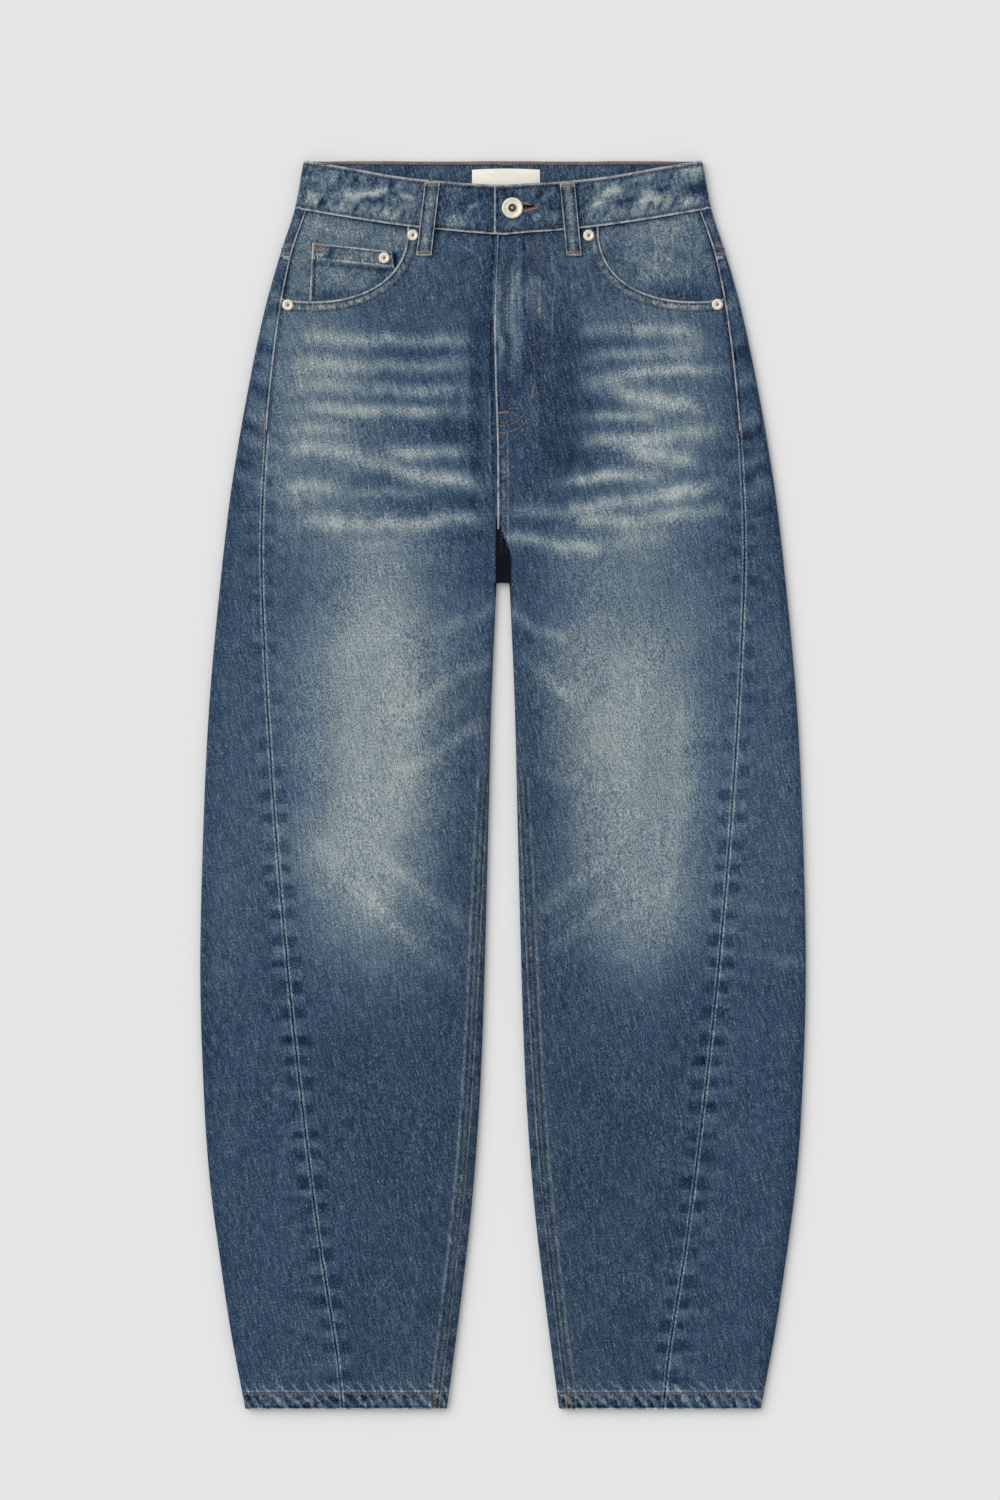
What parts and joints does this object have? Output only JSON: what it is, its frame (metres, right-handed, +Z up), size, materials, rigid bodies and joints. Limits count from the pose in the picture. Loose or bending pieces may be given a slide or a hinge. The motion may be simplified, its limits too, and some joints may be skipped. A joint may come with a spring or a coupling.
{
  "type": "barrel leg jeans",
  "caption": "Barrel-leg denim jeans laid flat on their back, with a buttoned waistband, belt loops, lapped fly, curved front pockets, a coin pocket and rivets.",
  "frame": {"origin": "middle of the laid garment's footprint, on the surface that it lies on", "axes": "+X to the wearer's left, +Y from the hems to the waist, +Z up from the surface through the back and then the front"},
  "size_m": [0.5138, 1.059, 0.0151],
  "materials": {
    "denim": "washed cotton twill, matt",
    "faded_denim": "abraded cotton twill, matt",
    "waist_patch": "plain woven patch, matt",
    "metal": "warm nickel, worn"
  },
  "bodies": {
    "root": {"front_panel_left": "denim", "front_panel_right": "denim", "back_panel_left": "denim", "back_panel_right": "denim", "yoke_left": "denim", "yoke_right": "denim", "waistband_left": "denim", "waistband_right": "denim", "back_pocket_left": "denim", "back_pocket_right": "denim", "belt_loop_front_left": "denim", "belt_loop_front_right": "denim", "belt_loop_back_centre": "denim", "belt_loop_back_left": "denim", "belt_loop_back_right": "denim", "pocket_facing_left": "faded_denim", "pocket_facing_right": "faded_denim", "coin_pocket": "faded_denim", "waist_patch": "waist_patch", "waist_button": "metal", "rivet_waist_left": "metal", "rivet_waist_right": "metal", "rivet_side_left": "metal", "rivet_side_right": "metal", "rivet_coin_pocket": "metal"}
  },
  "joints": []
}
